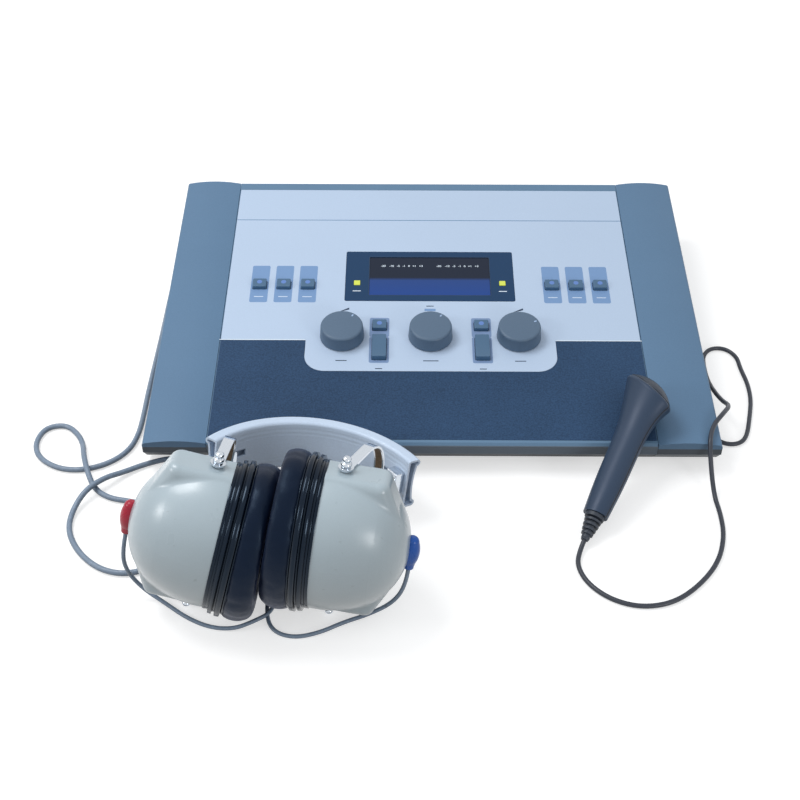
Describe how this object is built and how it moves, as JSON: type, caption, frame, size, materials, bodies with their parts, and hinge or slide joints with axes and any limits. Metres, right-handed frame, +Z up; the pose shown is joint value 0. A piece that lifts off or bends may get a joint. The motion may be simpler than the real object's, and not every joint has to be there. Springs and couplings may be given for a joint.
{
  "type": "desktop audiometer",
  "caption": "Sloping desktop audiometer with knobs, keys and a display, with noise-excluding earphones on a headband and a hand-held response switch.",
  "frame": {"origin": "on the desk, under the middle of the set without its cords", "axes": "+Z up, +Y away from the user, +X to the user's right"},
  "size_m": [0.5099, 0.4865, 0.1086],
  "materials": {
    "tray_plastic": "textured dark grey",
    "cover_plastic": "satin dark grey",
    "cap_plastic": "fine-textured blue",
    "overlay_print": "pale printed film",
    "dark_print": "navy printed film",
    "window": "printed window frame",
    "screen": "liquid crystal display",
    "lens": "yellow light pipe",
    "board": "green circuit board",
    "black_part": "black moulding",
    "steel": "bright plated",
    "zinc": "zinc plated",
    "knob": "satin grey",
    "key": "grey-blue key",
    "rubber": "black rubber",
    "cup": "pale grey",
    "cushion": "dark vinyl over foam",
    "flange": "dark grey",
    "band": "pale grey",
    "red": "red",
    "blue": "blue",
    "grey_cord": "grey flexible jacket",
    "black_cord": "black flexible jacket",
    "handset": "satin dark blue-grey"
  },
  "bodies": {
    "console": {"base_tray": "tray_plastic", "case_screws": "zinc", "circuit_board": "board", "control_overlay": "overlay_print", "display_module": "screen", "display_window": "window", "encoders": "black_part", "front_overlay": "dark_print", "handset_coil": "black_cord", "handset_cord": "black_cord", "handset_lower_shell": "handset", "handset_plug": "steel", "handset_strain_relief": "black_cord", "handset_switch": "black_part", "handset_upper_shell": "handset", "headband": "band", "headset_cable": "grey_cord", "headset_coil": "grey_cord", "headset_plugs": "steel", "indicator_lenses": "lens", "jack_sockets": "black_part", "key_switches": "black_part", "lead_junction": "grey_cord", "left_end_cap": "cap_plastic", "left_lead": "grey_cord", "power_entry_module": "black_part", "rear_panel": "cover_plastic", "right_end_cap": "cap_plastic", "right_lead": "grey_cord", "rubber_feet": "rubber", "top_cover": "cover_plastic"},
    "left_inner_key": {"left_inner_key": "key"},
    "left_middle_key": {"left_middle_key": "key"},
    "left_outer_key": {"left_outer_key": "key"},
    "left_signal_key": {"left_signal_key": "key"},
    "left_tone_bar": {"left_tone_bar": "key"},
    "right_inner_key": {"right_inner_key": "key"},
    "right_middle_key": {"right_middle_key": "key"},
    "right_outer_key": {"right_outer_key": "key"},
    "right_signal_key": {"right_signal_key": "key"},
    "right_tone_bar": {"right_tone_bar": "key"},
    "frequency_knob": {"frequency_knob": "knob"},
    "left_level_knob": {"left_level_knob": "knob"},
    "right_level_knob": {"right_level_knob": "knob"},
    "power_rocker": {"power_rocker": "black_part"},
    "response_button": {"response_button": "handset"},
    "left_yoke": {"left_yoke": "steel"},
    "left_cup": {"left_cup": "cup", "left_cup_flange": "flange", "left_ear_cushion": "cushion", "left_earphone": "flange", "left_lead_bushing": "red", "left_pivot_studs": "steel"},
    "right_yoke": {"right_yoke": "steel"},
    "right_cup": {"right_cup": "cup", "right_cup_flange": "flange", "right_ear_cushion": "cushion", "right_earphone": "flange", "right_lead_bushing": "blue", "right_pivot_studs": "steel"}
  },
  "joints": [
    {"name": "frequency_knob_turn", "type": "hinge", "parent": "console", "child": "frequency_knob", "pos_m": [0, 0.03844, 0.03466], "axis": [0, -0.1045, 0.9945], "continuous": true},
    {"name": "left_level_knob_turn", "type": "hinge", "parent": "console", "child": "left_level_knob", "pos_m": [-0.0638, 0.03844, 0.03466], "axis": [0, -0.1045, 0.9945], "continuous": true},
    {"name": "right_level_knob_turn", "type": "hinge", "parent": "console", "child": "right_level_knob", "pos_m": [0.0638, 0.03844, 0.03466], "axis": [0, -0.1045, 0.9945], "continuous": true},
    {"name": "left_inner_key_press", "type": "slide", "parent": "console", "child": "left_inner_key", "axis": [0, 0.1045, -0.9945], "range_m": [0, 0.001], "stiffness_N_per_m": 600, "springref_m": -0.0006},
    {"name": "left_middle_key_press", "type": "slide", "parent": "console", "child": "left_middle_key", "axis": [0, 0.1045, -0.9945], "range_m": [0, 0.001], "stiffness_N_per_m": 600, "springref_m": -0.0006},
    {"name": "left_outer_key_press", "type": "slide", "parent": "console", "child": "left_outer_key", "axis": [0, 0.1045, -0.9945], "range_m": [0, 0.001], "stiffness_N_per_m": 600, "springref_m": -0.0006},
    {"name": "left_signal_key_press", "type": "slide", "parent": "console", "child": "left_signal_key", "axis": [0, 0.1045, -0.9945], "range_m": [0, 0.001], "stiffness_N_per_m": 600, "springref_m": -0.0006},
    {"name": "left_tone_bar_press", "type": "slide", "parent": "console", "child": "left_tone_bar", "axis": [0, 0.1045, -0.9945], "range_m": [0, 0.001], "stiffness_N_per_m": 600, "springref_m": -0.0006},
    {"name": "right_inner_key_press", "type": "slide", "parent": "console", "child": "right_inner_key", "axis": [0, 0.1045, -0.9945], "range_m": [0, 0.001], "stiffness_N_per_m": 600, "springref_m": -0.0006},
    {"name": "right_middle_key_press", "type": "slide", "parent": "console", "child": "right_middle_key", "axis": [0, 0.1045, -0.9945], "range_m": [0, 0.001], "stiffness_N_per_m": 600, "springref_m": -0.0006},
    {"name": "right_outer_key_press", "type": "slide", "parent": "console", "child": "right_outer_key", "axis": [0, 0.1045, -0.9945], "range_m": [0, 0.001], "stiffness_N_per_m": 600, "springref_m": -0.0006},
    {"name": "right_signal_key_press", "type": "slide", "parent": "console", "child": "right_signal_key", "axis": [0, 0.1045, -0.9945], "range_m": [0, 0.001], "stiffness_N_per_m": 600, "springref_m": -0.0006},
    {"name": "right_tone_bar_press", "type": "slide", "parent": "console", "child": "right_tone_bar", "axis": [0, 0.1045, -0.9945], "range_m": [0, 0.001], "stiffness_N_per_m": 600, "springref_m": -0.0006},
    {"name": "power_rocker_tip", "type": "hinge", "parent": "console", "child": "power_rocker", "pos_m": [0.121, 0.21029, 0.024], "axis": [1, 0, 0], "range_deg": [0, 16]},
    {"name": "response_button_press", "type": "slide", "parent": "console", "child": "response_button", "axis": [-0.7264, -0.5098, -0.461], "range_m": [0, 0.0012], "stiffness_N_per_m": 800, "springref_m": -0.0006},
    {"name": "left_height_slide", "type": "hinge", "parent": "console", "child": "left_yoke", "pos_m": [-0.07767, -0.1447, 0.04552], "axis": [-0.1302, -0.1917, -0.9728], "range_deg": [0, 12], "deforming": ["left_lead", "left_ear_cushion"]},
    {"name": "left_cup_swivel", "type": "hinge", "parent": "left_yoke", "child": "left_cup", "pos_m": [-0.1383, -0.1694, 0.0542], "axis": [0.2507, 0.243, 0.9371], "range_deg": [-12, 12], "deforming": ["left_lead", "left_ear_cushion"]},
    {"name": "right_height_slide", "type": "hinge", "parent": "console", "child": "right_yoke", "pos_m": [-0.07767, -0.1447, 0.04552], "axis": [0.1302, 0.1917, 0.9728], "range_deg": [0, 12], "deforming": ["right_lead", "right_ear_cushion"]},
    {"name": "right_cup_swivel", "type": "hinge", "parent": "right_yoke", "child": "right_cup", "pos_m": [-0.0578, -0.1742, 0.0546], "axis": [0.1196, 0.2397, 0.9634], "range_deg": [-12, 12], "deforming": ["right_lead", "right_ear_cushion"]}
  ]
}
